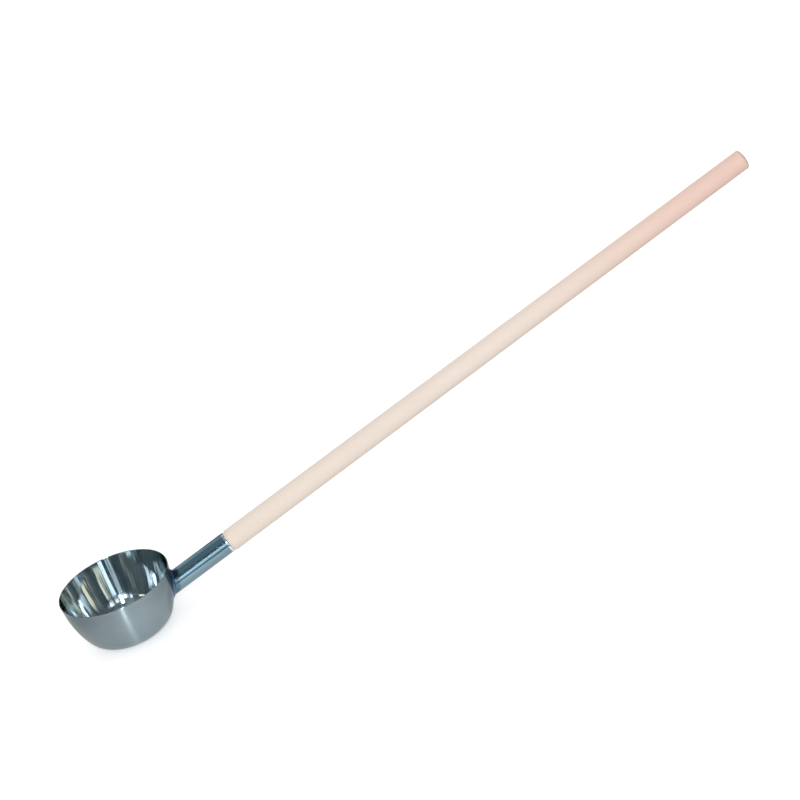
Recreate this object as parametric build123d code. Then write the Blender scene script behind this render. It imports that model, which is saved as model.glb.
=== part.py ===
from build123d import *

import os
from math import cos, radians, sin, tan

# Long-handled water dipper.
# A pressed stainless bowl stands level on its small flat base. A stainless socket tube is coped to the bowl's wall
# and welded on with one bead. A tapered wooden handle sits in the socket by a turned tenon, held by one screw.
# Frame: origin at the centre of the bowl's base, +Z up, the handle rises towards +X. Lengths are in millimetres.

# Bowl, pressed from one sheet
mouth_diameter = 150.0
bowl_height = 76.0
bowl_sheet = 1.0
wall_taper = 6.0  # degrees that the upper wall leans in
belly_radius = 130.0  # shallow curve below the straight wall
belly_end = 27.0  # degrees of lean where the shallow curve gives way to the corner
corner_radius = 31.0  # from the belly round to the flat base

# Socket tube
socket_diameter = 28.6
socket_wall = 1.2
socket_slope = 14.0  # degrees that the socket and handle rise
socket_drop = 35.0  # from the rim down to the socket's axis, at the mouth's radius
socket_reach = 162.0  # along the socket's axis, from the bowl's axis to the socket's mouth
lip_length = 2.6  # rounding of the socket's mouth, along the axis
lip_depth = 0.8  # and inwards

# Weld bead between bowl and socket
weld_leg = 3.4  # how far it reaches along the wall and along the tube

# Wooden handle, overall length with its tenon
handle_length = 900.0
handle_diameter = 30.0
tip_diameter = 27.6
tenon_length = 65.0
nose_length = 3.0  # bevel that leads the tenon into the bore, along the axis
nose_depth = 1.5  # and inwards
shoulder_length = 4.0  # slope from the socket's mouth up to the full diameter
tip_dome = 3.0  # height of the domed end
tip_round = 4.0  # rounding between the dome and the side

# Screw through the far underside of the socket
screw_inset = 20.0  # from the socket's mouth to the screw's axis
screw_turn = 40.0  # degrees round the socket from straight down
screw_diameter = 3.8
screw_length = 16.0  # below the head
screw_point = 4.0
screw_head_diameter = 7.2
screw_head_height = 2.2
recess_span = 3.6  # cross recess in the head
recess_width = 1.0
recess_depth = 1.2

# Fits
tenon_clearance = 0.1  # all round, between the tenon and the bore
screw_clearance = 0.05  # all round, in the socket's hole and the tenon's pilot hole
overrun = 1.0  # how far a cutting body runs past what it cuts

mouth_radius = mouth_diameter / 2
socket_radius = socket_diameter / 2
bore_radius = socket_radius - socket_wall
tenon_radius = bore_radius - tenon_clearance
axis_height = bowl_height - socket_drop - mouth_radius * tan(radians(socket_slope))

# The socket's axis: local Z runs up the handle from the bowl's axis, local X points to the socket's underside
socket_axis = Plane(
    origin=(0, 0, axis_height),
    x_dir=(sin(radians(socket_slope)), 0, -cos(radians(socket_slope))),
    z_dir=(cos(radians(socket_slope)), 0, sin(radians(socket_slope))),
)


def lean(degrees):
    """Unit vector square to a wall that leans in by so many degrees, pointing out of the bowl."""
    return Vector(cos(radians(degrees)), -sin(radians(degrees)))


def bowl_centres():
    """Centres of the rim's round edge, the belly's arc and the corner's arc, which all run into each other."""
    rim = Vector(mouth_radius - bowl_sheet / 2, bowl_height - bowl_sheet / 2)
    wall, turn = lean(wall_taper), lean(belly_end)
    reach = rim.dot(wall) + bowl_sheet / 2 - belly_radius
    corner_x = (reach - corner_radius * wall.Y + (belly_radius - corner_radius) * turn.dot(wall)) / wall.X
    corner = Vector(corner_x, corner_radius)
    belly = corner - turn * (belly_radius - corner_radius)
    return rim, belly, corner


def bowl_line(offset):
    """Half outline of the bowl from rim to base, so far inside the outer face, and its two ends."""
    rim, belly, corner = bowl_centres()
    wall, turn = lean(wall_taper), lean(belly_end)
    middle = lean((wall_taper + belly_end) / 2)
    low = lean((belly_end + 90) / 2)
    top = rim + wall * (bowl_sheet / 2 - offset)
    wall_foot = belly + wall * (belly_radius - offset)
    belly_foot = belly + turn * (belly_radius - offset)
    base_edge = corner + lean(90) * (corner_radius - offset)
    base_centre = Vector(0, base_edge.Y)
    line = Curve() + [
        Line(top, wall_foot),
        ThreePointArc(wall_foot, belly + middle * (belly_radius - offset), belly_foot),
        ThreePointArc(belly_foot, corner + low * (corner_radius - offset), base_edge),
        Line(base_edge, base_centre),
    ]
    return line, top, base_centre


def turned(outline):
    """Solid of revolution about Z from a closed outline in the XZ plane, with its seam on the -X side."""
    return Rot(0, 0, 180) * revolve(Plane.XZ * make_face(outline), Axis.Z)


def make_bowl():
    """Pressed shell: tapered wall, belly and corner arcs, flat base, and a fully rounded rim edge."""
    outer, outer_top, outer_base = bowl_line(0)
    inner, inner_top, inner_base = bowl_line(bowl_sheet)
    rim = bowl_centres()[0]
    rim_edge = ThreePointArc(outer_top, rim - lean(wall_taper + 90) * (bowl_sheet / 2), inner_top)
    return turned(outer + inner + [rim_edge, Line(outer_base, inner_base)])


def make_bowl_body():
    """The bowl filled to its rim, which shapes what is fitted to its outside."""
    outer, outer_top, outer_base = bowl_line(0)
    rim_centre = Vector(0, outer_top.Y)
    return turned(outer + [Line(outer_base, rim_centre), Line(rim_centre, outer_top)])


def screw_place():
    """Where the screw's head seats: local Z points out of the socket, square to its axis."""
    station = socket_reach - screw_inset
    return socket_axis * Pos(0, 0, station) * Rot(0, 0, screw_turn) * Rot(0, 90, 0) * Pos(0, 0, socket_radius)


def make_screw_hole():
    """Round hole for the screw's shank, from just outside the head's seat to just past the screw's point."""
    depth = screw_length + screw_clearance
    downwards = (Align.CENTER, Align.CENTER, Align.MAX)
    hole = Cylinder(screw_diameter / 2 + screw_clearance, depth + overrun, align=downwards)
    return screw_place() * Pos(0, 0, overrun) * hole


def make_socket(bowl_body):
    """Tube coped to the bowl's wall, with a rounded lip at its mouth and the screw's hole."""
    land_radius = socket_radius - lip_depth
    lip_start = socket_reach - lip_length
    sides = Polyline(
        (land_radius, socket_reach),
        (bore_radius, socket_reach),
        (bore_radius, 0),
        (socket_radius, 0),
        (socket_radius, lip_start),
    )
    lip = TangentArc((socket_radius, lip_start), (land_radius, socket_reach), tangent=(0, 1))
    tube = socket_axis * revolve(Plane.XZ * make_face(sides + lip), Axis.Z)
    return tube - bowl_body - make_screw_hole()


def make_weld(bowl_body):
    """Bead all round the saddle curve where the tube meets the wall: what a bevel there adds to the two."""
    upwards = (Align.CENTER, Align.CENTER, Align.MIN)
    tube = socket_axis * Cylinder(socket_radius, socket_reach, align=upwards)
    joined = bowl_body + tube
    saddle = joined.edges().filter_by(GeomType.BSPLINE)
    return chamfer(saddle, length=weld_leg) - bowl_body - tube


def make_handle():
    """Turned handle: nosed tenon, sloped shoulder at the socket's mouth, long taper and domed tip."""
    tenon_start = socket_reach - tenon_length
    tip = tenon_start + handle_length
    side_end = tip - tip_dome
    shoulder_radius = socket_radius - lip_depth
    outline = Polyline(
        (0, tenon_start),
        (tenon_radius - nose_depth, tenon_start),
        (tenon_radius, tenon_start + nose_length),
        (tenon_radius, socket_reach),
        (shoulder_radius, socket_reach),
        (handle_diameter / 2, socket_reach + shoulder_length),
        (tip_diameter / 2, side_end),
    )
    crown = TangentArc((0, tip), (tip_diameter / 2, side_end), tangent=(1, 0))
    half = make_face(outline + [crown, Line((0, tip), (0, tenon_start))])
    shoulder = half.vertices().filter_by_position(Axis.Y, side_end, side_end)
    half = fillet(shoulder, tip_round)
    return socket_axis * revolve(Plane.XZ * half, Axis.Z) - make_screw_hole()


def make_screw():
    """Domed wood screw with a cross recess; its head touches the tube along one line."""
    half = screw_diameter / 2
    head = screw_head_diameter / 2
    crown = TangentArc((0, screw_head_height), (head, 0), tangent=(1, 0))
    shank = Polyline(
        (0, screw_head_height),
        (0, -screw_length),
        (half, screw_point - screw_length),
        (half, 0),
        (head, 0),
    )
    screw = revolve(Plane.XZ * make_face(shank + crown), Axis.Z)
    downwards = (Align.CENTER, Align.CENTER, Align.MAX)
    for turn in (0, 90):
        arm = Box(recess_span, recess_width, recess_depth, align=downwards)
        screw -= Pos(0, 0, screw_head_height) * Rot(0, 0, turn) * arm
    return screw_place() * screw


def main():
    os.makedirs("parts", exist_ok=True)
    bowl_body = make_bowl_body()
    pieces = {
        "bowl": make_bowl(),
        "handle_socket": make_socket(bowl_body),
        "socket_weld": make_weld(bowl_body),
        "wooden_handle": make_handle(),
        "handle_screw": make_screw(),
    }
    for name, piece in pieces.items():
        export_step(piece, f"parts/{name}.step")


main()
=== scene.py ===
from math import cos, pi, radians, sin, tan

import bpy
import numpy as np
from bpy.props import FloatProperty, FloatVectorProperty, IntProperty, PointerProperty
from mathutils import Matrix, Vector


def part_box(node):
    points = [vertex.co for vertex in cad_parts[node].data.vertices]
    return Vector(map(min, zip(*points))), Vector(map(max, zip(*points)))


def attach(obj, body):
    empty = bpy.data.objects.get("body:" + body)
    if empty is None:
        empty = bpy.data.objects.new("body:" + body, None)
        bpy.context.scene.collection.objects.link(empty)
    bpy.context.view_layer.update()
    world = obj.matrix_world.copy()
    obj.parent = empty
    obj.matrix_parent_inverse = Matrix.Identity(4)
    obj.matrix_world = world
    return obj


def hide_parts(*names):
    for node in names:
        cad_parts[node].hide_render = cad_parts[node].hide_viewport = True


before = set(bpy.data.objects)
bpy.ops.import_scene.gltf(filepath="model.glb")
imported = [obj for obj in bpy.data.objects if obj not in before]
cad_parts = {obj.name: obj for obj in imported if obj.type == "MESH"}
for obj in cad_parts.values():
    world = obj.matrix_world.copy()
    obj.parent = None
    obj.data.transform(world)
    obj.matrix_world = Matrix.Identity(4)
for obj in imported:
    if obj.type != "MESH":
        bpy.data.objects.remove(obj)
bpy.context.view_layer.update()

# Long-handled water dipper: pressed steel bowl, socket tube welded to it, wooden handle held by one screw.
# Lengths are in metres. The origin is the centre of the bowl's base, +Z is up, the handle rises towards +X.

bl_info = {
    "name": "Water dipper",
    "version": (1, 0, 0),
    "blender": (4, 5, 0),
    "location": "3D View > Sidebar > Dipper",
    "description": "Makes a long-handled steel water dipper and the studio it stands in",
    "category": "Add Mesh",
}

MM = 0.001
BOWL_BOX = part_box("bowl")
SOCKET_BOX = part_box("handle_socket")


# Sizes and colours that a user would change

def length(name, description, default):
    return FloatProperty(name=name, description=description, default=default, unit="LENGTH", precision=5)


def angle(name, description, degrees):
    return FloatProperty(name=name, description=description, default=radians(degrees), subtype="ANGLE")


def colour(name, description, default):
    return FloatVectorProperty(
        name=name, description=description, default=default, size=3, min=0, max=1, subtype="COLOR"
    )


class BowlSizes(bpy.types.PropertyGroup):
    mouth: length("Mouth", "Diameter over the rim", BOWL_BOX[1][0] - BOWL_BOX[0][0])
    height: length("Height", "From the base to the rim", BOWL_BOX[1][2] - BOWL_BOX[0][2])
    sheet: length("Sheet", "Thickness of the pressed sheet", 1 * MM)
    taper: angle("Taper", "Lean of the wall below the rim", 6)
    belly_radius: length("Belly radius", "Shallow curve below the straight wall", 130 * MM)
    belly_end: angle("Belly end", "Lean where the corner's curve begins", 27)
    corner_radius: length("Corner radius", "Curve from the belly round to the base", 31 * MM)
    ripple: length("Ripple", "Height of the inner wall's hand-polished ripple", 0.07 * MM)
    satin: colour("Satin steel", "Colour of the satin outside", (0.214, 0.268, 0.292))
    mirror: colour("Mirror steel", "Colour of the polished inside", (0.70, 0.76, 0.78))
    tint: colour("Heat tint", "Colour of the steel beside the weld", (0.082, 0.163, 0.232))


class SocketSizes(bpy.types.PropertyGroup):
    diameter: length("Diameter", "Outside of the tube", SOCKET_BOX[1][1] - SOCKET_BOX[0][1])
    wall: length("Wall", "Thickness of the tube", 1.2 * MM)
    slope: angle("Slope", "Rise of the tube and the handle", 14)
    drop: length("Drop", "From the rim down to the tube's axis, at the mouth's radius", 35 * MM)
    reach: length("Reach", "Along the axis, from the bowl's axis to the tube's mouth", 162 * MM)
    lip_length: length("Lip length", "Rounding of the tube's mouth, along the axis", 2.6 * MM)
    lip_depth: length("Lip depth", "Rounding of the tube's mouth, inwards", 0.8 * MM)
    steel: colour("Tube steel", "Colour of the drawn tube", (0.190, 0.300, 0.355))


class WeldSizes(bpy.types.PropertyGroup):
    leg: length("Leg", "Reach of the bead along the wall and along the tube", 3.4 * MM)
    crown: length("Crown", "Bulge of the bead over a straight bevel", 0.25 * MM)
    ripple: length("Ripple", "Height of the bead's scales", 0.09 * MM)
    pitch: length("Pitch", "Spacing of the bead's scales", 1.5 * MM)
    steel: colour("Weld steel", "Colour of the brushed bead", (0.13, 0.205, 0.285))


class HandleSizes(bpy.types.PropertyGroup):
    length: length("Length", "Overall, with the tenon", 900 * MM)
    diameter: length("Diameter", "At the socket", 30 * MM)
    tip_diameter: length("Tip diameter", "At the domed end", 27.6 * MM)
    tenon: length("Tenon", "Length inside the tube", 65 * MM)
    shoulder: length("Shoulder", "Slope from the tube up to the full diameter", 4 * MM)
    dome: length("Dome", "Height of the domed end", 3 * MM)
    tip_round: length("Tip rounding", "Between the dome and the side", 4 * MM)
    unevenness: length("Unevenness", "How far the planed side dips below true", 0.12 * MM)
    wood: colour("Wood", "Colour of the pale wood", (0.870, 0.760, 0.675))
    grip: colour("Handled wood", "Pinker colour towards the tip", (0.865, 0.595, 0.510))
    grain: colour("Grain", "Stain of the late wood", (0.80, 0.67, 0.56))


class ScrewSizes(bpy.types.PropertyGroup):
    inset: length("Inset", "From the tube's mouth to the screw", 20 * MM)
    turn: angle("Turn", "Round the tube from straight down", 40)
    diameter: length("Diameter", "Over the thread", 3.8 * MM)
    length: length("Length", "Below the head", 16 * MM)
    point: length("Point", "Length of the tapered point", 4 * MM)
    head: length("Head", "Diameter of the head", 7.2 * MM)
    head_height: length("Head height", "Dome of the head", 2.2 * MM)
    steel: colour("Screw steel", "Colour of the screw", (0.42, 0.45, 0.47))


class StudioSizes(bpy.types.PropertyGroup):
    target: FloatVectorProperty(
        name="Target", description="Point at the middle of the picture", default=(0.4323, 0, 0.1468),
        subtype="XYZ", unit="LENGTH",
    )
    distance: length("Distance", "From the camera to its target", 3.493)
    heading: angle("Heading", "Camera's turn to the right of straight ahead", 7.52)
    pitch: angle("Pitch", "Camera's look down", 25.77)
    roll: angle("Roll", "Camera's tilt about its line of sight", 20.80)
    lens: FloatProperty(
        name="Lens", description="Focal length on a 36 mm sensor", default=121.43, unit="CAMERA"
    )
    floor: colour("Floor", "Pale colour of the floor", (0.80, 0.80, 0.80))
    columns: IntProperty(
        name="Tent columns", description="Columns of the tent, all round", default=480, min=12
    )


GROUPS = {
    "dipper_bowl": BowlSizes,
    "dipper_socket": SocketSizes,
    "dipper_weld": WeldSizes,
    "dipper_handle": HandleSizes,
    "dipper_screw": ScrewSizes,
    "dipper_studio": StudioSizes,
}


# Fixed counts of points along each outline, then fixed small lengths

BASE_RINGS, CORNER_RINGS, BELLY_RINGS, WALL_RINGS, RIM_RINGS = 12, 44, 34, 8, 14
TUBE_RINGS, LIP_RINGS, BORE_RINGS = 110, 14, 20
STICK_RINGS, TIP_RINGS = 260, 14
CROWN_RINGS, SHANK_RINGS = 54, 150
BEAD_RINGS = 22
SADDLE_HALVINGS = 40  # of the bracket in which the tube meets the wall

BOWL_HEAT = 38 * MM  # how far the weld's heat tint reaches over the bowl
TUBE_HEAT = 12 * MM  # and along the tube
WARM_SIDE = 30 * MM  # what lies less far towards the handle stays cold
# The tube lip's rubbed band is also painted bright as a highlight.
RIM_WEAR, BASE_WEAR, LIP_WEAR_AND_SHEEN = 1.6 * MM, 4 * MM, 0.9 * MM  # widths of the rubbed edges
TENON_CLEARANCE = 0.1 * MM  # all round, between the tenon and the tube's bore
NOSE_LENGTH, NOSE_DEPTH = 3 * MM, 1.5 * MM  # bevel that leads the tenon into the bore
FLOOR_GAP = 0.1 * MM  # between the floor and the base

# Bright panels of the tent that the steel shows: middle and half width of the heading, counted from +X to +Y,
# lowest and highest height, all in degrees, then how bright, and the share of warm light
PANELS = (
    (18, 3, 14, 30, 0.5, 0.9),
    (78, 3, 12, 34, 1.2, 0.0),
    (108, 7, 12, 34, 2.2, 0.0),
    (134, 5, 21, 33, 1.8, 0.7),
    (190, 5, 14, 32, 0.45, 0.5),
    (213, 9, 14, 34, 1.6, 0.9),
    (243, 5, 14, 36, 1.4, 0.0),
    (257, 5, 11, 29, 2.9, 0.0),
    (262, 4, 3, 17, 2.2, 0.0),
    (247, 14, 34, 66, 0.18, 0.0),
    (325, 58, 3, 13, 1.6, 0.0),
    (267, 1.1, 20, 48, 40.0, 0.0),
    (279, 4, 22, 34, 1.6, 0.0),
    (297, 6, 14, 36, 2.0, 0.0),
    (90, 32, 40, 60, 0.8, 0.0),
    (5, 30, 38, 72, 1.0, 0.0),
)


# Mesh making

def make_object(name, points, faces, uv=None, layers=None, zones=None):
    """Mesh object from points and faces.

    faces holds an array of corner numbers for the quads, and one for the triangles if there are any. uv holds
    a pair for each corner, layers named values for each point, and zones a material number for each face.
    """
    mesh = bpy.data.meshes.new(name)
    corners = np.concatenate([f.ravel() for f in faces])
    sizes = np.concatenate([np.full(len(f), f.shape[1]) for f in faces])
    mesh.vertices.add(len(points))
    mesh.vertices.foreach_set("co", points.ravel())
    mesh.loops.add(len(corners))
    mesh.loops.foreach_set("vertex_index", corners.astype(np.int32))
    mesh.polygons.add(len(sizes))
    mesh.polygons.foreach_set("loop_start", (np.cumsum(sizes) - sizes).astype(np.int32))
    mesh.polygons.foreach_set("use_smooth", np.ones(len(sizes), bool))
    if zones is not None:
        mesh.polygons.foreach_set("material_index", zones.astype(np.int32))
    mesh.update(calc_edges=True)
    if uv is not None:
        mesh.uv_layers.new(name="wrap").data.foreach_set("uv", uv.ravel())
    for label, values in (layers or {}).items():
        kind, field = ("FLOAT_VECTOR", "vector") if values.ndim == 2 else ("FLOAT", "value")
        mesh.attributes.new(label, kind, "POINT").data.foreach_set(field, values.astype(np.float32).ravel())
    piece = bpy.data.objects.new(name, mesh)
    bpy.context.collection.objects.link(piece)
    return piece


def points_outwards(points, faces):
    """Whether a closed surface's faces point outwards, from the sign of the volume inside them."""
    volume = 0
    for f in faces:
        a, b, c = (points[f[:, k]] for k in range(3))
        volume += np.einsum("ij,ij->", a, np.cross(b, c))
        if f.shape[1] == 4:
            d = points[f[:, 3]]
            volume += np.einsum("ij,ij->", a, np.cross(c, d))
    return volume > 0


def ring_quads(below, above, columns):
    """Corner numbers of the quads between pairs of rings, whose points are numbered ring after ring."""
    ring = np.arange(columns)
    beside = (ring + 1) % columns
    low, high = below[:, None] * columns, above[:, None] * columns
    return np.stack([low + ring, low + beside, high + beside, high + ring], axis=-1).reshape(-1, 4)


def skin(name, grid, start=None, end=None, layers=None, zones=None):
    """Closed surface through a grid of points in rows, each row a ring that closes on itself.

    With a start and an end point, the first and last rings close in fans on these poles. Without them, the
    last ring joins the first. The wrap map's u runs round a ring, and its v from the first row to the last.
    layers hold a value for each point of the grid, and zones a material number for each row.
    """
    rows, columns = grid.shape[:2]
    points = grid.reshape(-1, 3)
    poles = start is not None
    below = np.arange(rows - 1 if poles else rows)
    above = (below + 1) % rows
    ring = np.arange(columns)
    u0, u1 = ring / columns, (ring + 1) / columns
    v0, v1 = below / rows, (below + 1) / rows
    square = [
        np.stack(np.broadcast_arrays(u, v[:, None]), axis=-1)
        for u, v in ((u0, v0), (u1, v0), (u1, v1), (u0, v1))
    ]
    faces = [ring_quads(below, above, columns)]
    maps = [np.stack(square, axis=2).reshape(-1, 4, 2)]
    layers = {label: v.reshape(rows * columns, *v.shape[2:]) for label, v in (layers or {}).items()}
    if poles:
        first, last = len(points), len(points) + 1
        points = np.vstack([points, start, end])
        beside = (ring + 1) % columns
        top = (rows - 1) * columns
        faces.append(np.vstack([
            np.stack([np.full(columns, first), beside, ring], axis=-1),
            np.stack([np.full(columns, last), top + ring, top + beside], axis=-1),
        ]))
        middle = (u0 + u1) / 2
        maps.append(np.vstack([
            np.stack([np.stack([u, np.zeros(columns)], axis=-1) for u in (middle, u1, u0)], axis=1),
            np.stack([np.stack([u, np.ones(columns)], axis=-1) for u in (middle, u0, u1)], axis=1),
        ]))
        layers = {label: np.concatenate([v, v[:1], v[top:top + 1]]) for label, v in layers.items()}
    if zones is not None:
        zones = np.repeat(np.append(zones[:-1], (zones[0], zones[-1])) if poles else zones, columns)
    if not points_outwards(points, faces):
        faces = [f[:, ::-1] for f in faces]
        maps = [m[:, ::-1] for m in maps]
    uv = np.concatenate([m.reshape(-1, 2) for m in maps])
    return make_object(name, points, faces, uv, layers, zones)


def full_turn(columns):
    """Evenly spaced angles all round, without the last, which is the first again."""
    return np.linspace(0, 2 * pi, columns, endpoint=False)


def arc(centre, radius, start, end, count):
    """Points about a centre, from one angle to another, as an array of pairs."""
    turn = np.linspace(start, end, count)
    return np.stack([centre[0] + radius * np.cos(turn), centre[1] + radius * np.sin(turn)], axis=-1)


def run(first, last, count):
    """Evenly spaced points from first up to, but without, last."""
    step = np.linspace(0, 1, count, endpoint=False)[:, None]
    return np.asarray(first) + (np.asarray(last) - np.asarray(first)) * step


def travelled(path):
    """Length gone along a path of points up to each of them."""
    steps = np.linalg.norm(np.diff(path, axis=0), axis=1)
    return np.concatenate([[0], np.cumsum(steps)])


def unit(vectors):
    """Each row's vector at length 1."""
    return vectors / np.linalg.norm(vectors, axis=1, keepdims=True)


def wrapped(turn, along):
    """Place for a pattern with no seam round the piece: cosine and sine of the turn, and the length."""
    return np.stack(np.broadcast_arrays(np.cos(turn), np.sin(turn), along), axis=-1)


def waves(turn, lobes, seed):
    """Sum of cosines round a full turn, with random phases, each weaker as its lobes grow in number."""
    chance = np.random.default_rng(seed)
    total = np.zeros_like(turn)
    for count in lobes:
        total += chance.uniform(0.5, 1) * np.cos(count * turn + chance.uniform(0, 2 * pi)) / count ** 0.5
    return total / len(lobes) ** 0.5


# Shapes shared by the pieces

def lean(turn):
    """Unit pair square to a wall that leans in by this angle, pointing out of the bowl."""
    return np.array([cos(turn), -sin(turn)])


def bowl_centres(b):
    """Centres of the rim's round edge, the belly's arc and the corner's arc, which run into each other."""
    rim = np.array([b.mouth / 2 - b.sheet / 2, b.height - b.sheet / 2])
    wall, turn = lean(b.taper), lean(b.belly_end)
    apart = b.belly_radius - b.corner_radius
    reach = rim @ wall + b.sheet / 2 - b.belly_radius
    across = (reach - b.corner_radius * wall[1] + apart * (turn @ wall)) / wall[0]
    corner = np.array([across, b.corner_radius])
    return rim, corner - turn * apart, corner


def wall_line(b, inset):
    """Half outline so far inside the outer face, from the base's centre up to the rim."""
    rim, belly, corner = bowl_centres(b)
    base = corner + lean(pi / 2) * (b.corner_radius - inset)
    top = rim + lean(b.taper) * (b.sheet / 2 - inset)
    beside_pole = (0.02 * base[0], base[1])
    return np.vstack([
        run(beside_pole, base, BASE_RINGS),
        arc(corner, b.corner_radius - inset, -pi / 2, -b.belly_end, CORNER_RINGS)[:-1],
        arc(belly, b.belly_radius - inset, -b.belly_end, -b.taper, BELLY_RINGS),
        run(belly + lean(b.taper) * (b.belly_radius - inset), top, WALL_RINGS)[1:],
        top[None],
    ])


def wall_radius(b, height):
    """Radius of the bowl's outer face at each height."""
    line = wall_line(b, 0)
    return np.interp(height, line[:, 1], line[:, 0])


def socket_axes(b, s):
    """Origin of the tube's axis, on the bowl's axis, and unit vectors along it, to its underside and side."""
    origin = np.array([0, 0, b.height - s.drop - b.mouth / 2 * tan(s.slope)])
    along = np.array([cos(s.slope), 0, sin(s.slope)])
    under = np.array([sin(s.slope), 0, -cos(s.slope)])
    return origin, along, under, np.cross(along, under)


def round_axis(axes, along, radius, turn):
    """Points at so far along the tube's axis and so far from it, turned round it from its underside."""
    origin, forward, under, side = axes
    along, radius, turn = np.broadcast_arrays(along, radius, turn)
    across = under * np.cos(turn)[..., None] + side * np.sin(turn)[..., None]
    return origin + forward * along[..., None] + across * radius[..., None]


def saddle(b, s, radius, turn):
    """How far along the axis a tube of this radius meets the bowl's wall, by halving a bracket."""
    axes = socket_axes(b, s)
    inside, outside = np.zeros_like(turn), np.full_like(turn, b.mouth)
    for _ in range(SADDLE_HALVINGS):
        middle = (inside + outside) / 2
        place = round_axis(axes, middle, radius, turn)
        clear = np.hypot(place[..., 0], place[..., 1]) > wall_radius(b, place[..., 2])
        inside, outside = np.where(clear, inside, middle), np.where(clear, middle, outside)
    return (inside + outside) / 2


# Materials

class Finish:
    """Nodes of a material or a world in the making.

    Most calls add a node, link or set its inputs, and give one of its outputs, the first if none is named.
    """

    def __init__(self, name, kind="materials"):
        self.made = getattr(bpy.data, kind).new(name)
        self.made.use_nodes = True
        self.tree = self.made.node_tree
        self.tree.nodes.clear()

    def node(self, kind, inputs=None, output=0, **settings):
        made = self.tree.nodes.new(kind)
        for key, value in settings.items():
            setattr(made, key, value)
        for key, value in (inputs or {}).items():
            socket = made.inputs[key]
            if isinstance(value, bpy.types.NodeSocket):
                self.tree.links.new(value, socket)
            elif socket.type == "RGBA" and len(value) == 3:
                socket.default_value = (*value, 1)
            else:
                socket.default_value = value
        return made.outputs[output] if len(made.outputs) else None

    def layer(self, name, part="Vector"):
        return self.node("ShaderNodeAttribute", attribute_name=name, output=part)

    def place(self, turned=(0, 0, 0), moved=(0, 0, 0)):
        """The piece's own coordinates, turned and moved."""
        here = self.node("ShaderNodeTexCoord", output="Object")
        return self.node("ShaderNodeMapping", {"Vector": here, "Rotation": turned, "Location": moved})

    def stretch(self, vector, scales):
        return self.node("ShaderNodeVectorMath", {0: vector, 1: scales}, operation="MULTIPLY")

    def noise(self, vector, scale, detail=3, roughness=0.55, distortion=0):
        return self.node("ShaderNodeTexNoise", {
            "Vector": vector, "Scale": scale, "Detail": detail, "Roughness": roughness,
            "Distortion": distortion,
        })

    def math(self, operation, first, second):
        return self.node("ShaderNodeMath", {0: first, 1: second}, operation=operation)

    def span(self, value, low, high, to_low=0.0, to_high=1.0, smooth=False):
        """The value carried from one range to another and kept inside it."""
        return self.node(
            "ShaderNodeMapRange",
            {"Value": value, "From Min": low, "From Max": high, "To Min": to_low, "To Max": to_high},
            interpolation_type="SMOOTHSTEP" if smooth else "LINEAR",
        )

    def blend(self, share_of_second, first, second, way="MIX"):
        return self.node(
            "ShaderNodeMix", {"Factor": share_of_second, 6: first, 7: second}, output=2,
            data_type="RGBA", blend_type=way,
        )

    def bump(self, height, distance, normal=None):
        inputs = {"Height": height, "Distance": distance, "Strength": 1.0}
        if normal is not None:
            inputs["Normal"] = normal
        return self.node("ShaderNodeBump", inputs)

    def surface(self, shader, kind="Material"):
        """The finished material or world."""
        self.node(f"ShaderNodeOutput{kind}", {"Surface": shader})
        return self.made

    def metal(self, shade, rough, relief, more=None):
        """The material finished as bare metal."""
        return self.surface(self.node("ShaderNodeBsdfPrincipled", {
            "Base Color": shade, "Metallic": 1.0, "Roughness": rough, "Normal": relief, **(more or {}),
        }))


def tinted(finish, steel, tint, near):
    """Steel colour with a weld's heat tint: dull where the heat ends, then dusky, then blue beside the bead.

    near is 1 at the bead and 0 where the heat ends. A slow noise makes that edge uneven.
    """
    uneven = finish.span(finish.noise(finish.place(), 55, 3, 0.5), 0.3, 0.7, 0.80, 1.12)
    near = finish.math("MULTIPLY", near, uneven)
    dull = finish.blend(finish.span(near, 0.0, 0.20, smooth=True), steel, (0.215, 0.245, 0.245))
    dusky = finish.blend(finish.span(near, 0.08, 0.32, smooth=True), dull, (0.150, 0.185, 0.222))
    return finish.blend(finish.span(near, 0.15, 0.58, smooth=True), dusky, tint)


def satin_steel(b):
    """Outside of the bowl: satin ground round the axis, mottled, brighter where rim and base are worn by
    rubbing.
    """
    f = Finish("bowl_satin_steel")
    wall = f.layer("wall")
    mottle = f.noise(f.place(), 38, 4, 0.6)
    lines = f.noise(f.stretch(wall, (5, 5, 1500)), 1, 4, 0.7)
    broad_lines = f.noise(f.stretch(wall, (3, 3, 260)), 1, 3, 0.6)
    scuffs = f.span(f.noise(f.stretch(wall, (60, 60, 420)), 1, 5, 0.75, 0.6), 0.60, 0.72)
    rubbed_and_sheen = f.layer("rubbed_and_sheen", "Fac")
    toned = f.blend(f.span(mottle, 0.3, 0.7, 0.0, 0.35), tuple(b.satin), (0.250, 0.297, 0.310))
    lined = f.blend(f.span(lines, 0.35, 0.65, 0.0, 0.22), toned, (0.162, 0.207, 0.226))
    warm = tinted(f, lined, tuple(b.tint), f.layer("warmed", "Fac"))
    worn_and_sheen = f.blend(f.math("MULTIPLY", rubbed_and_sheen, 0.25), warm, (0.45, 0.52, 0.55))
    rough = f.math("ADD", f.span(broad_lines, 0.3, 0.7, 0.22, 0.26), f.math("MULTIPLY", scuffs, -0.06))
    rough = f.math("SUBTRACT", rough, f.math("MULTIPLY", rubbed_and_sheen, 0.12))
    relief = f.bump(lines, 0.006 * MM)
    relief = f.bump(broad_lines, 0.02 * MM, normal=relief)
    tangent = f.node("ShaderNodeTangent", direction_type="UV_MAP", uv_map="wrap")
    brushed = {"Anisotropic": 1.0, "Anisotropic Rotation": 0.25, "Tangent": tangent}
    return f.metal(worn_and_sheen, rough, relief, brushed)


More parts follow.
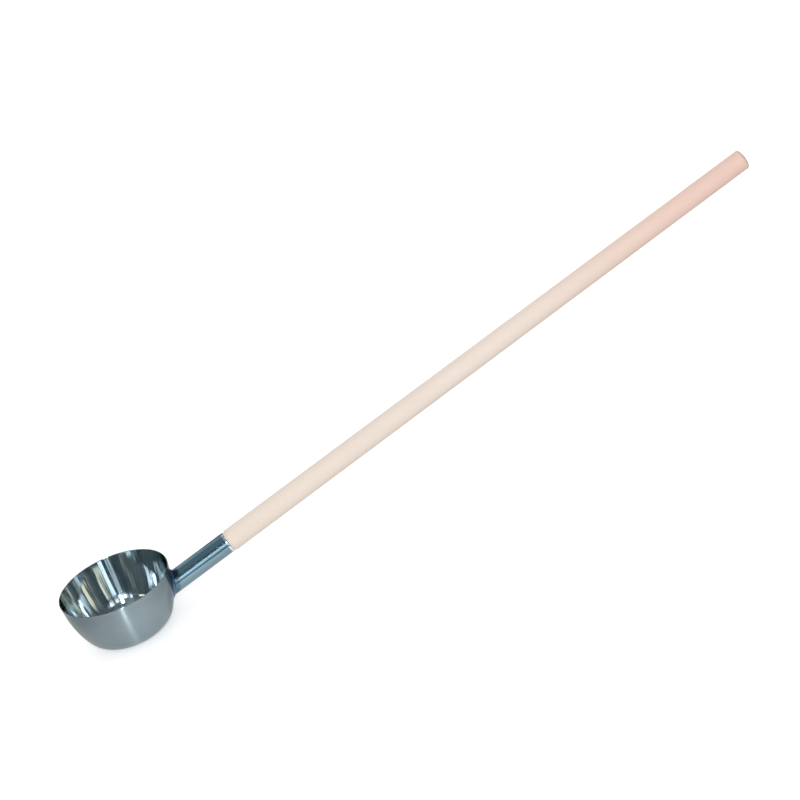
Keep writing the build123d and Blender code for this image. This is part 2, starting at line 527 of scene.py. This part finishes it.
def mirror_steel(b):
    """Inside of the bowl: polished up and down the wall, with faint water marks and fine scratches."""
    f = Finish("bowl_mirror_steel")
    wall = f.layer("wall")
    strokes = f.noise(f.stretch(wall, (9, 9, 6)), 1, 2, 0.5)
    fine = f.noise(f.stretch(wall, (150, 150, 14)), 1, 3, 0.6)
    marks = f.span(f.noise(f.place(), 95, 3, 0.6), 0.52, 0.75)
    rubbed_and_sheen = f.layer("rubbed_and_sheen", "Fac")
    toned = f.blend(f.span(strokes, 0.35, 0.65, 0.0, 0.35), tuple(b.mirror), (0.56, 0.65, 0.69))
    marked = f.blend(f.math("MULTIPLY", marks, 0.10), toned, (0.80, 0.80, 0.76))
    worn_and_sheen = f.blend(f.math("MULTIPLY", rubbed_and_sheen, 0.5), marked, (0.60, 0.66, 0.68))
    rough = f.math("ADD", f.span(fine, 0.3, 0.7, 0.05, 0.10), f.math("MULTIPLY", marks, 0.05))
    relief = f.bump(strokes, 0.30 * MM)
    relief = f.bump(fine, 0.0015 * MM, normal=relief)
    return f.metal(worn_and_sheen, rough, relief)


def tube_steel(b, s):
    """Drawn tube: fine lines along it, varying polish, heat tint at its root, a rubbed lip also painted as a
    highlight.
    """
    f = Finish("socket_drawn_steel")
    tube = f.layer("wall")
    drawn = f.noise(f.stretch(tube, (190, 190, 6)), 1, 3, 0.6)
    rings = f.noise(f.stretch(tube, (4, 4, 700)), 1, 3, 0.6)
    mottle = f.noise(f.place(), 60, 4, 0.6)
    heat = f.layer("warmed", "Fac")
    toned = f.blend(f.span(mottle, 0.3, 0.7, 0.0, 0.35), tuple(s.steel), (0.255, 0.330, 0.370))
    lined = f.blend(f.span(drawn, 0.35, 0.65, 0.0, 0.25), toned, (0.155, 0.225, 0.265))
    warm = tinted(f, lined, tuple(b.tint), heat)
    # Bright lip: partly rubbed steel, partly a painted highlight.
    worn_and_sheen = f.blend(f.layer("rubbed_and_sheen", "Fac"), warm, (0.74, 0.81, 0.84))
    rough = f.span(f.math("ADD", drawn, rings), 0.7, 1.3, 0.10, 0.16)
    rough = f.math("ADD", rough, f.math("MULTIPLY", heat, 0.12))
    relief = f.bump(drawn, 0.0010 * MM)
    relief = f.bump(rings, 0.0010 * MM, normal=relief)
    return f.metal(worn_and_sheen, rough, relief)


def weld_steel(b, w):
    """Weld bead: scales brushed bright on their crests, blue and brown heat tint in their hollows."""
    f = Finish("weld_tinted_steel")
    crest = f.layer("crest", "Fac")
    drift = f.noise(f.place(), 210, 4, 0.6)
    hue = f.blend(f.span(drift, 0.35, 0.65), tuple(b.tint), (0.105, 0.085, 0.10))
    brushed = f.blend(f.span(crest, 0.45, 0.95, 0.0, 0.75), hue, tuple(w.steel))
    rough = f.span(crest, 0.0, 1.0, 0.42, 0.24)
    relief = f.bump(f.noise(f.place(), 2400, 3, 0.6), 0.02 * MM)
    return f.metal(brushed, rough, relief)


def pale_wood(h, slope):
    """Bare pale wood: growth lines about a pith outside the stick, pores, and a handled, pinker end."""
    f = Finish("handle_pale_wood")
    pith = (0, 0.021, 0.047)
    stick = f.place(turned=(0, slope, 0), moved=pith)
    wobble = f.noise(f.stretch(stick, (2.2, 16, 16)), 1, 3, 0.5)
    growth = f.node(
        "ShaderNodeTexWave",
        {"Vector": f.stretch(stick, (0.03, 1, 1)), "Scale": 175, "Distortion": 2.2, "Detail": 2,
         "Detail Scale": 0.35, "Detail Roughness": 0.5},
        wave_type="RINGS", rings_direction="X", wave_profile="SAW", output=1,
    )
    fibre = f.noise(f.stretch(stick, (9, 900, 900)), 1, 4, 0.65)
    pores = f.span(f.noise(f.stretch(stick, (70, 2600, 2600)), 1, 2, 0.5), 0.66, 0.74)
    patches = f.noise(f.stretch(stick, (4, 40, 40)), 1, 4, 0.6)
    along = f.layer("along", "Fac")
    ends = f.layer("end", "Fac")
    aged = f.blend(f.span(along, 0.50, 1.0, smooth=True), tuple(h.wood), tuple(h.grip))
    late = f.math(
        "MULTIPLY", f.span(growth, 0.55, 1.0, smooth=True), f.span(wobble, 0.35, 0.65, 0.26, 0.52)
    )
    late = f.math("MULTIPLY", late, f.span(ends, 0.0, 1.0, 1.0, 1.8))
    ringed = f.blend(late, aged, tuple(h.grain), way="MULTIPLY")
    fibred = f.blend(f.span(fibre, 0.30, 0.70, 0.0, 0.16), ringed, (0.84, 0.66, 0.53))
    patched = f.blend(f.span(patches, 0.40, 0.70, 0.0, 0.14), fibred, (0.94, 0.84, 0.75))
    pored = f.blend(f.math("MULTIPLY", pores, 0.22), patched, (0.55, 0.38, 0.27))
    dark_end = f.blend(f.math("MULTIPLY", ends, 0.55), pored, (0.47, 0.36, 0.31))
    rough = f.span(fibre, 0.3, 0.7, 0.46, 0.60)
    rough = f.math("SUBTRACT", rough, f.span(along, 0.6, 1.0, 0.0, 0.06))
    relief = f.bump(fibre, 0.03 * MM)
    relief = f.bump(pores, -0.04 * MM, normal=relief)
    return f.surface(f.node("ShaderNodeBsdfPrincipled", {
        "Base Color": dark_end, "Roughness": rough, "Normal": relief, "Specular IOR Level": 0.35,
    }))


def screw_steel(c):
    """Plain screw: mottled steel with fine turned rings."""
    f = Finish("screw_steel")
    spot = f.noise(f.place(), 900, 4, 0.6)
    rings = f.noise(f.stretch(f.layer("wall"), (3, 3, 6000)), 1, 3, 0.6)
    toned = f.blend(f.span(spot, 0.35, 0.65, 0.0, 0.5), tuple(c.steel), (0.28, 0.30, 0.32))
    rough = f.span(rings, 0.3, 0.7, 0.22, 0.38)
    return f.metal(toned, rough, f.bump(rings, 0.006 * MM))


# Pieces

def near_weld(points, b, s, reach):
    """1 at the line where the tube meets the wall, falling to 0 at this distance from it.

    The layer made of it is called warmed, because Cycles reads a layer called heat as zero.
    """
    turn = full_turn(180)
    line = round_axis(socket_axes(b, s), saddle(b, s, s.diameter / 2, turn), s.diameter / 2, turn)
    flat = points.reshape(-1, 3)
    nearest = np.full(len(flat), np.inf)
    groups = 40  # keep the table of gaps small
    for part in np.array_split(np.flatnonzero(flat[:, 0] > WARM_SIDE), groups):
        gaps = np.linalg.norm(flat[part, None] - line[None], axis=2)
        nearest[part] = gaps.min(axis=1)
    return np.clip(1 - nearest / reach, 0, 1).reshape(points.shape[:-1])


def make_bowl(b, s):
    """Pressed bowl, an outline turned about Z: out along the base, up, round the rim's edge and back inside.

    The inner wall's radius also has a hand-polished ripple, which fades at the rim and at the base. It is one
    sum of cosines round the turn, which gives way to another as it goes up.
    """
    rim = bowl_centres(b)[0]
    outer, inner = wall_line(b, 0), wall_line(b, b.sheet)
    edge = arc(rim, b.sheet / 2, -b.taper, pi - b.taper, RIM_RINGS)[1:-1]
    outline = np.vstack([outer, edge, inner[::-1]])
    radius, height = outline[:, :1], outline[:, 1:]
    rim_top = len(outer) + len(edge) // 2
    inside = np.arange(len(outline)) >= rim_top
    turn = full_turn(448)
    up = np.clip(height / b.height, 0, 1)
    fade = inside[:, None] * np.sin(pi * up) ** 0.6
    low_waves = waves(turn, lobes=(3, 5, 8, 11, 14, 17, 21, 26, 31, 37), seed=4)
    high_waves = waves(turn, lobes=(2, 4, 7, 9, 13, 16, 19, 23), seed=9)
    wave = b.ripple * fade * (low_waves * np.cos(2 * up) + high_waves * np.sin(2 * up))
    around = radius - np.abs(b.ripple) * fade + wave
    grid = np.stack(np.broadcast_arrays(around * np.cos(turn), around * np.sin(turn), height), axis=-1)
    gone = travelled(outline)[:, None]
    from_rim = np.abs(gone - gone[rim_top])
    from_base = np.abs(radius - radius[BASE_RINGS - 1]) + height
    outside = ~inside[:, None]
    rubbed_and_sheen = np.clip(1 - from_rim / RIM_WEAR, 0, 1) + 0.5 * np.clip(1 - from_base / BASE_WEAR, 0, 1) * outside
    layers = {
        "wall": wrapped(turn, gone),
        "rubbed_and_sheen": np.broadcast_to(rubbed_and_sheen, around.shape),
        "warmed": near_weld(grid, b, s, BOWL_HEAT) * outside,
    }
    bowl = skin("bowl_shell", grid, (0, 0, outer[0, 1]), (0, 0, inner[0, 1]), layers, inside.astype(int))
    bowl.data.materials.append(satin_steel(b))
    bowl.data.materials.append(mirror_steel(b))
    return bowl


def make_socket(b, s):
    """Tube: a closed outline carried round the sloped axis.

    It starts on the saddle line of the bowl's wall, which differs at each angle, runs out to the rounded lip,
    and comes back down the bore.
    """
    turn = full_turn(256)
    outer, bore = s.diameter / 2, s.diameter / 2 - s.wall
    land = outer - s.lip_depth
    root, bore_root = saddle(b, s, outer, turn), saddle(b, s, bore, turn)
    lip_start = s.reach - s.lip_length
    outside = root + (lip_start - root) * np.linspace(0, 1, TUBE_RINGS)[:, None]
    bend = np.linspace(0, pi / 2, LIP_RINGS)[1:, None]
    lip = lip_start + s.lip_length * np.sin(bend) + 0 * turn
    back = s.reach + (bore_root - s.reach) * np.linspace(0, 1, BORE_RINGS)[:, None]
    along = np.vstack([outside, lip, back])
    radius = np.concatenate([
        np.full(len(outside), outer), land + s.lip_depth * np.cos(bend[:, 0]), np.full(len(back), bore),
    ])[:, None]
    grid = round_axis(socket_axes(b, s), along, radius, turn)
    layers = {
        "wall": wrapped(turn, along),
        # Lip band: rubbed, and also painted bright as a highlight in the tube's finish.
        "rubbed_and_sheen": np.clip((along - lip_start + LIP_WEAR_AND_SHEEN) / LIP_WEAR_AND_SHEEN, 0, 1),
        "warmed": near_weld(grid, b, s, TUBE_HEAT),
    }
    tube = skin("socket_tube", grid, layers=layers)
    tube.data.materials.append(tube_steel(b, s))
    return tube


def make_weld(b, s, w):
    """Bead: a bevel from the wall to the tube, carried round the saddle line.

    Its face bulges as a parabola, and its scales are a cosine of the length gone along the line. They lag in
    the middle of the face, so that each scale is a crescent.
    """
    columns = 900
    lag = 0.55  # of the middle of a scale, in scales
    root = 0.3  # share of the leg at which the hidden back leaves it for the saddle line
    turn = full_turn(columns)
    axes = socket_axes(b, s)
    radius = s.diameter / 2
    start = saddle(b, s, radius, turn)
    line = round_axis(axes, start, radius, turn)
    away = (line - round_axis(axes, start, 0, turn)) / radius
    level = np.hypot(line[:, 0], line[:, 1])
    level_way = np.stack([line[:, 0] / level, line[:, 1] / level, 0 * level], axis=-1)
    nearby = line[:, 2] + np.array([[-MM], [0], [MM]])
    flare = np.gradient(wall_radius(b, nearby), MM, axis=0)[1]
    normal = unit(level_way - flare[:, None] * np.array([0, 0, 1]))
    up_wall = unit(away - normal * np.sum(away * normal, axis=1, keepdims=True))
    foot = line + up_wall * w.leg
    gap = wall_radius(b, foot[:, 2]) - np.hypot(foot[:, 0], foot[:, 1])
    foot += gap[:, None] * level_way
    toe = line + axes[1] * w.leg
    across = np.linspace(0, 1, BEAD_RINGS)[:, None]
    bevel = foot + (toe - foot) * across[..., None]
    out = unit(np.cross(toe - foot, np.gradient(line, axis=0)))
    out *= np.sign(np.sum(out * (foot + toe - 2 * line), axis=1, keepdims=True))
    bulge = 4 * across * (1 - across)
    gone = travelled(np.vstack([line, line[:1]]))
    scales = round(gone[-1] / w.pitch)
    phase = 2 * pi * (scales * gone[:-1] / gone[-1] + lag * bulge)
    crest = np.abs(np.cos(phase / 2)) ** 0.7
    face = bevel + out * (w.crown * bulge + w.ripple * crest * bulge ** 0.5)[..., None]
    back = np.stack([line + axes[1] * w.leg * root, line, line + up_wall * w.leg * root])
    shade = np.vstack([crest, np.zeros((len(back), columns))])
    bead = skin("weld_bead", np.vstack([face, back]), layers={"crest": shade})
    bead.data.materials.append(weld_steel(b, w))
    return bead


def make_handle(b, s, h):
    """Stick: an outline turned about the sloped axis.

    It has a nosed tenon, a sloped shoulder, a long straight taper, and a domed end with a round between dome
    and side. The side dips a little below true by cosines along it and round it, as planed and sanded wood
    does. The dips fade in after the shoulder and out before the tip.
    """
    axes = socket_axes(b, s)
    turn = full_turn(192)
    first = s.reach - h.tenon
    nose = first + NOSE_LENGTH
    tip = first + h.length
    full, end = h.diameter / 2, h.tip_diameter / 2
    tenon = s.diameter / 2 - s.wall - TENON_CLEARANCE
    land = s.diameter / 2 - s.lip_depth
    shoulder = s.reach + h.shoulder
    sphere = (end ** 2 + h.dome ** 2) / (2 * h.dome)
    centre = tip - sphere
    side_swell = 0.02 * MM  # how far the side's radius is over the tip's where the round begins
    round_away = end - h.tip_round + side_swell
    round_at = centre + ((sphere - h.tip_round) ** 2 - round_away ** 2) ** 0.5
    meet = np.arctan2(round_away, round_at - centre)
    beside_pole, near_tip = 0.3 * MM, 0.03  # first ring's radius, and last ring's angle from the axis
    outline = np.vstack([
        run((first, beside_pole), (first, tenon - NOSE_DEPTH), 4),
        run((first, tenon - NOSE_DEPTH), (nose, tenon), 3),
        run((nose, tenon), (s.reach, tenon), 8),
        run((s.reach, tenon), (s.reach, land), 2),
        run((s.reach, land), (shoulder, full), 8),
        run((shoulder, full), (round_at, round_away + h.tip_round), STICK_RINGS),
        arc((round_at, round_away), h.tip_round, pi / 2, meet, TIP_RINGS)[:-1],
        arc((centre, 0), sphere, meet, near_tip, 16),
    ])
    along, radius = outline[:, :1], outline[:, 1:]
    fade_in, fade_out = 20 * MM, 25 * MM
    showing = np.clip((along - s.reach - h.shoulder) / fade_in, 0, 1)
    showing *= np.clip((tip - along) / fade_out, 0, 1)
    long_wave, middle_wave, short_wave = 310 * MM, 170 * MM, 52 * MM
    bowed = np.cos(2 * pi * along / long_wave + 1.0) * np.cos(turn - 0.7)
    oval = np.cos(2 * pi * along / middle_wave) * np.cos(2 * turn)
    planed = np.cos(2 * pi * along / short_wave + 3 * np.cos(turn + 2.0))
    dip = 0.5 + 0.2 * (bowed + oval) + 0.08 * planed
    grid = round_axis(axes, along, radius - h.unevenness * showing * dip, turn)
    shape = grid.shape[:2]
    layers = {
        "along": np.broadcast_to((along - s.reach) / (tip - s.reach), shape),
        "end": np.broadcast_to(np.clip((along - round_at) / (h.tip_round * 0.9), 0, 1), shape),
    }
    poles = round_axis(axes, np.array([first, tip]), 0, 0)
    handle = skin("handle_stick", grid, *poles, layers)
    handle.data.materials.append(pale_wood(h, s.slope))
    return handle


def make_screw(b, s, c):
    """Screw: rings down from the head's crown to the point.

    The crown is a dome with two crossed slots pressed into it, each a soft step on both axes. The shank's
    radius rises to a thread where the turn less the depth in pitches comes round.
    """
    turn = full_turn(128)
    head, root, crest = c.head / 2, c.diameter * 0.36, c.diameter / 2
    pitch = c.diameter * 0.42
    valley, ridge = 0.55, 0.45  # shares of the pitch
    thread_start, thread_rise = 3 * MM, 2 * MM
    half_slot, half_span, depth = c.head * 0.07, c.head * 0.25, c.head_height * 0.55
    soft_edge = 0.12 * MM
    out = np.linspace(0.02, 1, CROWN_RINGS)[:, None]
    x, y = head * out * np.cos(turn), head * out * np.sin(turn)

    def inside(value, half):
        return np.clip((half - np.abs(value)) / soft_edge + 0.5, 0, 1)

    slots = np.maximum(
        inside(x, half_slot) * inside(y, half_span), inside(y, half_slot) * inside(x, half_span)
    )
    crown = c.head_height * (1 - out ** 2) ** 0.5 - depth * slots
    below = np.linspace(0, c.length, SHANK_RINGS)[:, None]
    taper = np.clip((c.length - below) / c.point, 0.02, 1)
    tooth = np.abs(((turn / (2 * pi) - below / pitch) % 1) * 2 - 1)
    thread = np.clip((tooth - valley) / ridge, 0, 1) * np.clip((below - thread_start) / thread_rise, 0, 1)
    shank = (root + (crest - root) * thread) * taper
    radius = np.vstack([head * out + 0 * turn, shank])
    height = np.vstack([crown, -below + 0 * turn])
    axes = socket_axes(b, s)
    along = s.reach - c.inset
    seat = round_axis(axes, along, s.diameter / 2, c.turn)
    outwards = (seat - round_axis(axes, along, 0, 0)) / (s.diameter / 2)
    side = np.cross(outwards, axes[1])
    grid = (
        seat + outwards * height[..., None] + axes[1] * (radius * np.cos(turn))[..., None]
        + side * (radius * np.sin(turn))[..., None]
    )
    top = seat + outwards * (c.head_height - depth)
    end = seat - outwards * c.length
    screw = skin("socket_screw", grid, top, end, {"wall": wrapped(turn, radius + height)})
    screw.data.materials.append(screw_steel(c))
    return screw


# Studio

def floor_finish(studio):
    """Pale floor that keeps the shadow and is lifted to white for the camera.

    The steel sees it as a painted reflection: glowing in a pool before the bowl and one behind it, and dark
    farther away.
    """
    f = Finish("studio_floor")
    pools = ((0.03, -0.16, 0), (0.04, 0.25, 0))
    camera_glow = 0.46
    seen = f.node("ShaderNodeLightPath", output="Is Camera Ray")
    mirrored = f.node("ShaderNodeLightPath", output="Is Glossy Ray")
    here = f.node("ShaderNodeTexCoord", output="Object")
    away = [
        f.node("ShaderNodeVectorMath", {0: here, 1: pool}, operation="DISTANCE", output=1) for pool in pools
    ]
    pooled = f.span(f.math("MINIMUM", *away), 0.05, 0.25, to_low=0.80, to_high=0.0)
    glow = f.math("ADD", f.math("MULTIPLY", seen, camera_glow), f.math("MULTIPLY", mirrored, pooled))
    distance = f.node("ShaderNodeVectorMath", {0: here}, operation="LENGTH", output=1)
    far = f.math("MULTIPLY", mirrored, f.span(distance, 0.20, 0.50))
    shade = f.blend(far, tuple(studio.floor), (0.10, 0.15, 0.17))
    matt = f.node("ShaderNodeBsdfDiffuse", {"Color": shade})
    light = f.node("ShaderNodeEmission", {"Color": (1, 1, 1), "Strength": glow})
    return f.surface(f.node("ShaderNodeAddShader", {0: matt, 1: light}))


def tent_finish():
    """Dark tent over the studio with bright panels, which only steel sees."""
    f = Finish("studio_tent")
    sky = f.layer("sky")
    height = f.node("ShaderNodeSeparateXYZ", {0: sky}, output=2)
    glare = f.layer("glare", "Fac")
    hue = f.blend(f.layer("warmth", "Fac"), (0.80, 0.92, 1.0), (1.0, 0.87, 0.62))
    drift = f.noise(f.stretch(sky, (3.2, 3.2, 1.2)), 1, 3, 0.6)
    wall = f.blend(f.span(drift, 0.40, 0.62), (0.035, 0.065, 0.080), (0.155, 0.180, 0.185))
    dark = f.blend(f.span(height, 0.80, 0.92, smooth=True), wall, (0.30, 0.385, 0.425))
    shade = f.blend(f.math("MINIMUM", glare, 1.0), dark, hue)
    strength = f.math("MAXIMUM", glare, 1.0)
    return f.surface(f.node("ShaderNodeEmission", {"Color": shade, "Strength": strength}))


def make_floor(studio):
    """Flat square floor just under the base: one face on four corners."""
    half = 40.0
    corners = np.array([[-half, -half], [half, -half], [half, half], [-half, half]])
    points = np.column_stack([corners, np.full(4, -FLOOR_GAP)])
    floor = make_object("studio_floor", points, [np.array([[0, 1, 2, 3]])])
    floor.data.materials.append(floor_finish(studio))


def make_tent(studio):
    """Sphere over the object from a low height to the top, seen only in the steel.

    Its points carry a glare layer: each panel's brightness times a soft step at each of its four sides.
    """
    radius, rows = 6.0, 70
    lowest, highest = 3, 89  # degrees
    soft_side, soft_end = 2, 3  # degrees over which a panel's sides and ends fade
    turn = full_turn(studio.columns)
    rise = np.radians(np.linspace(lowest, highest, rows))[:, None]
    way = np.stack(
        np.broadcast_arrays(np.cos(rise) * np.cos(turn), np.cos(rise) * np.sin(turn), np.sin(rise)), axis=-1
    )
    heading, height = np.degrees(turn), np.degrees(rise)
    glare, warmth = np.zeros(way.shape[:2]), np.zeros(way.shape[:2])
    for middle, half, bottom, top, level, warm in PANELS:
        off = np.abs((heading - middle + 180) % 360 - 180)
        across = np.clip((half - off) / soft_side + 0.5, 0, 1)
        upright = np.clip((height - bottom) / soft_end, 0, 1) * np.clip((top - height) / soft_end, 0, 1)
        glare = np.maximum(glare, level * across * upright)
        warmth = np.maximum(warmth, warm * (across * upright > 0))
    layers = {"sky": way.reshape(-1, 3), "glare": glare.ravel(), "warmth": warmth.ravel()}
    below = np.arange(rows - 1)
    quads = ring_quads(below, below + 1, studio.columns)
    tent = make_object("studio_tent", way.reshape(-1, 3) * radius, [quads], layers=layers)
    tent.data.materials.append(tent_finish())
    for ray in ("camera", "diffuse", "transmission", "shadow", "volume_scatter"):
        setattr(tent, f"visible_{ray}", False)


def make_lamp(name, place, aim, size, watts):
    """Soft lamp at a place, turned to a point. The steel shows the tent's panels instead of it."""
    lamp = bpy.data.lights.new(name, "AREA")
    lamp.shape = "RECTANGLE"
    lamp.size, lamp.size_y = size
    lamp.energy = watts
    holder = bpy.data.objects.new(name, lamp)
    bpy.context.collection.objects.link(holder)
    holder.location = place
    holder.rotation_euler = (Vector(aim) - Vector(place)).to_track_quat("-Z", "Y").to_euler()
    holder.visible_camera = False
    holder.visible_glossy = False
    return holder


def make_strip_lamp(bowl):
    """Tall narrow lamp that lights only the bowl, which shows it as a thin line down its satin outside."""
    heading, away, height = radians(264.5), 2, 0.36
    place = (away * cos(heading), away * sin(heading), height)
    strip = make_lamp("strip_lamp", place, aim=(0, 0, 0.04), size=(0.03, 0.6), watts=22)
    strip.visible_glossy = True
    strip.visible_diffuse = False
    strip.light_linking.receiver_collection = bpy.data.collections.new("strip_lamp_lights")
    strip.light_linking.receiver_collection.objects.link(bowl)


def make_world():
    """White surroundings: full for the camera and the steel, softer as light on the object."""
    f = Finish("studio_light", "worlds")
    seen = f.node("ShaderNodeLightPath", output="Is Camera Ray")
    mirrored = f.node("ShaderNodeLightPath", output="Is Glossy Ray")
    strength = f.span(f.math("MAXIMUM", seen, mirrored), 0, 1, 0.90, 1.0)
    bpy.context.scene.world = f.surface(f.node("ShaderNodeBackground", {"Strength": strength}), "World")


def make_camera(studio):
    """Camera that looks at its target, down by its pitch and right by its heading, and is then rolled."""
    ahead = cos(studio.pitch)
    look = Vector((sin(studio.heading) * ahead, cos(studio.heading) * ahead, -sin(studio.pitch)))
    level = look.cross(Vector((0, 0, 1))).normalized()
    upright = level.cross(look)
    right = level * cos(studio.roll) - upright * sin(studio.roll)
    up = right.cross(look)
    camera = bpy.data.cameras.new("studio_camera")
    camera.lens = studio.lens
    camera.sensor_width = 36
    camera.clip_end = 200
    holder = bpy.data.objects.new("studio_camera", camera)
    bpy.context.collection.objects.link(holder)
    turn = Matrix((right, up, -look)).transposed()
    holder.matrix_world = Matrix.Translation(Vector(studio.target) - look * studio.distance) @ turn.to_4x4()
    bpy.context.scene.camera = holder
    return holder


def make_studio(studio):
    """Surroundings, floor, tent, camera, a lamp beside the camera, one behind, and the bowl's strip lamp."""
    bpy.context.scene.view_settings.view_transform = "Standard"
    make_world()
    make_floor(studio)
    make_tent(studio)
    camera = make_camera(studio)
    from_camera = np.array([-0.15, -0.1, 0.35])
    beside_camera = np.array(camera.matrix_world.translation) + from_camera
    make_lamp("key_lamp", beside_camera, aim=studio.target, size=(0.9, 0.9), watts=42)
    make_lamp("back_lamp", (0.6, 3.4, 0.9), aim=studio.target, size=(1.6, 0.9), watts=34)
    bowl = bpy.data.objects.get("bowl_shell")
    if bowl:
        make_strip_lamp(bowl)


# Operators

def finished(piece, node):
    """Puts a piece in its CAD node's place."""
    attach(piece, "root")
    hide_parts(node)


class DipperOperator:
    """What the dipper's operators share."""

    bl_options = {"REGISTER", "UNDO"}

    def sizes(self, context, *names):
        return [getattr(context.scene, f"dipper_{name}") for name in names]


class DIPPER_OT_bowl(DipperOperator, bpy.types.Operator):
    """Make the pressed steel bowl"""

    bl_idname = "dipper.bowl"
    bl_label = "Bowl"

    def execute(self, context):
        finished(make_bowl(*self.sizes(context, "bowl", "socket")), "bowl")
        return {"FINISHED"}


class DIPPER_OT_socket(DipperOperator, bpy.types.Operator):
    """Make the socket tube"""

    bl_idname = "dipper.socket"
    bl_label = "Socket tube"

    def execute(self, context):
        finished(make_socket(*self.sizes(context, "bowl", "socket")), "handle_socket")
        return {"FINISHED"}


class DIPPER_OT_weld(DipperOperator, bpy.types.Operator):
    """Make the weld bead between bowl and tube"""

    bl_idname = "dipper.weld"
    bl_label = "Weld bead"

    def execute(self, context):
        finished(make_weld(*self.sizes(context, "bowl", "socket", "weld")), "socket_weld")
        return {"FINISHED"}


class DIPPER_OT_handle(DipperOperator, bpy.types.Operator):
    """Make the wooden handle"""

    bl_idname = "dipper.handle"
    bl_label = "Wooden handle"

    def execute(self, context):
        handle = make_handle(*self.sizes(context, "bowl", "socket", "handle"))
        finished(handle, "wooden_handle")
        return {"FINISHED"}


class DIPPER_OT_screw(DipperOperator, bpy.types.Operator):
    """Make the screw that holds the handle"""

    bl_idname = "dipper.screw"
    bl_label = "Screw"

    def execute(self, context):
        finished(make_screw(*self.sizes(context, "bowl", "socket", "screw")), "handle_screw")
        return {"FINISHED"}


class DIPPER_OT_studio(DipperOperator, bpy.types.Operator):
    """Make the floor, the light and the camera"""

    bl_idname = "dipper.studio"
    bl_label = "Studio"

    def execute(self, context):
        make_studio(*self.sizes(context, "studio"))
        return {"FINISHED"}


class DIPPER_PT_pieces(bpy.types.Panel):
    """The dipper's sizes and pieces"""

    bl_label = "Water dipper"
    bl_idname = "DIPPER_PT_pieces"
    bl_space_type = "VIEW_3D"
    bl_region_type = "UI"
    bl_category = "Dipper"

    def draw(self, context):
        for operator in OPERATORS:
            name = operator.bl_idname.replace(".", "_")
            sizes = getattr(context.scene, name)
            box = self.layout.box()
            for size in GROUPS[name].__annotations__:
                box.prop(sizes, size)
            box.operator(operator.bl_idname)


OPERATORS = (
    DIPPER_OT_bowl, DIPPER_OT_socket, DIPPER_OT_weld, DIPPER_OT_handle, DIPPER_OT_screw, DIPPER_OT_studio,
)
CLASSES = (*GROUPS.values(), *OPERATORS, DIPPER_PT_pieces)


def register():
    for group in CLASSES:
        bpy.utils.register_class(group)
    for name, group in GROUPS.items():
        setattr(bpy.types.Scene, name, PointerProperty(type=group))


def unregister():
    for name in GROUPS:
        delattr(bpy.types.Scene, name)
    for group in reversed(CLASSES):
        bpy.utils.unregister_class(group)


def main():
    register()
    for operator in OPERATORS:
        group, name = operator.bl_idname.split(".")
        getattr(getattr(bpy.ops, group), name)()


if __name__ == "__main__":
    main()
